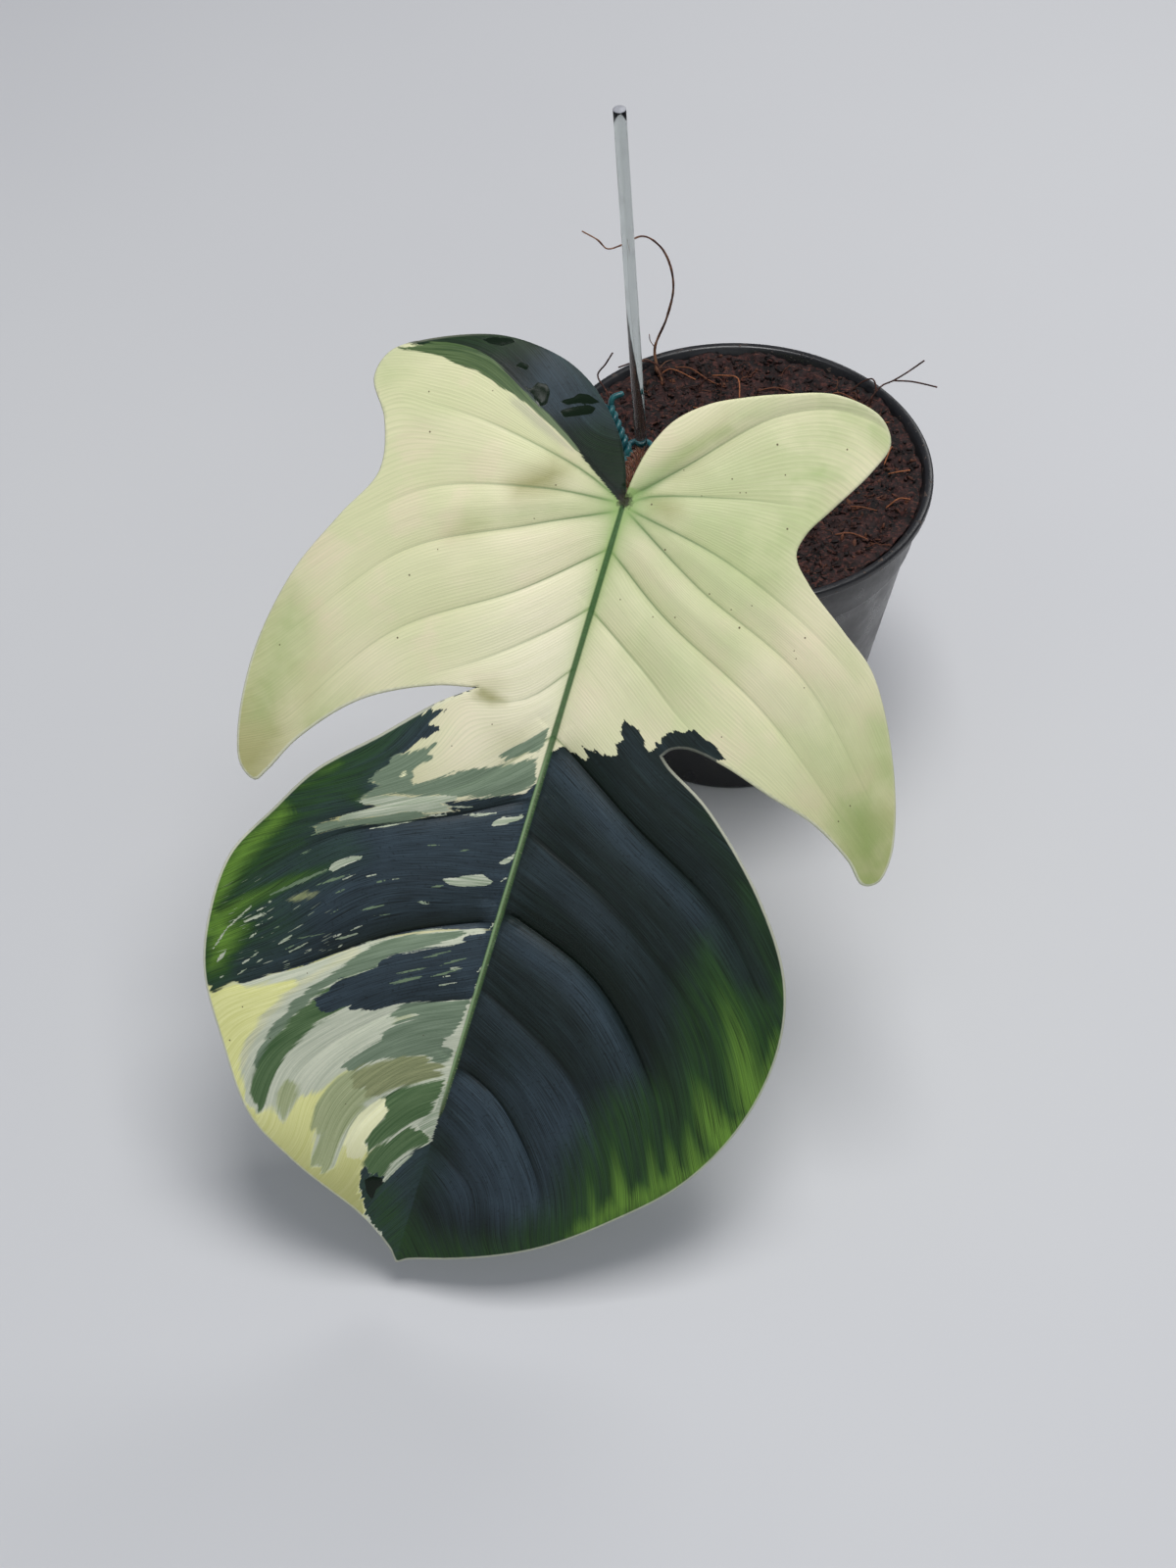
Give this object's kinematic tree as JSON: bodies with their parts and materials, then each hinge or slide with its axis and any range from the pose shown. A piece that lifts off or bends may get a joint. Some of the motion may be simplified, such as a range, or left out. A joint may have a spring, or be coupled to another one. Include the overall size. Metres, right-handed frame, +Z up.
{
  "type": "potted philodendron squamiferum",
  "caption": "Potted aroid house plant with a large lobed variegated leaf on a bristly petiole, tied to a clear stake in a round nursery pot of coir mix.",
  "frame": {"origin": "centre of the pot's flat base, on the surface that the pot stands on", "axes": "+Z up along the pot's axis, -Y towards the front, where the leaf hangs over the rim, +X to the right as seen from the front"},
  "size_m": [0.2344, 0.315, 0.2631],
  "materials": {
    "pot_plastic": "thin moulded black plastic, glossy at the rim",
    "mix": "damp shredded coir, chips and fibres",
    "fibre": "dry single coir fibre",
    "clear_rod": "clear acrylic rod",
    "tie_wire": "dark teal plastic coated wire",
    "stem_skin": "green living stem with old leaf rings",
    "petiole_skin": "reddish brown bristly scales on a green stalk",
    "leaf": "satin leaf, cream and pale green above, dark green with cream streaks below"
  },
  "bodies": {
    "root": {"pot": "pot_plastic", "potting_mix": "mix", "coir_fibre": "fibre", "stake": "clear_rod", "twist_tie": "tie_wire", "stem": "stem_skin", "petiole": "petiole_skin", "leaf_blade": "leaf"}
  },
  "joints": []
}
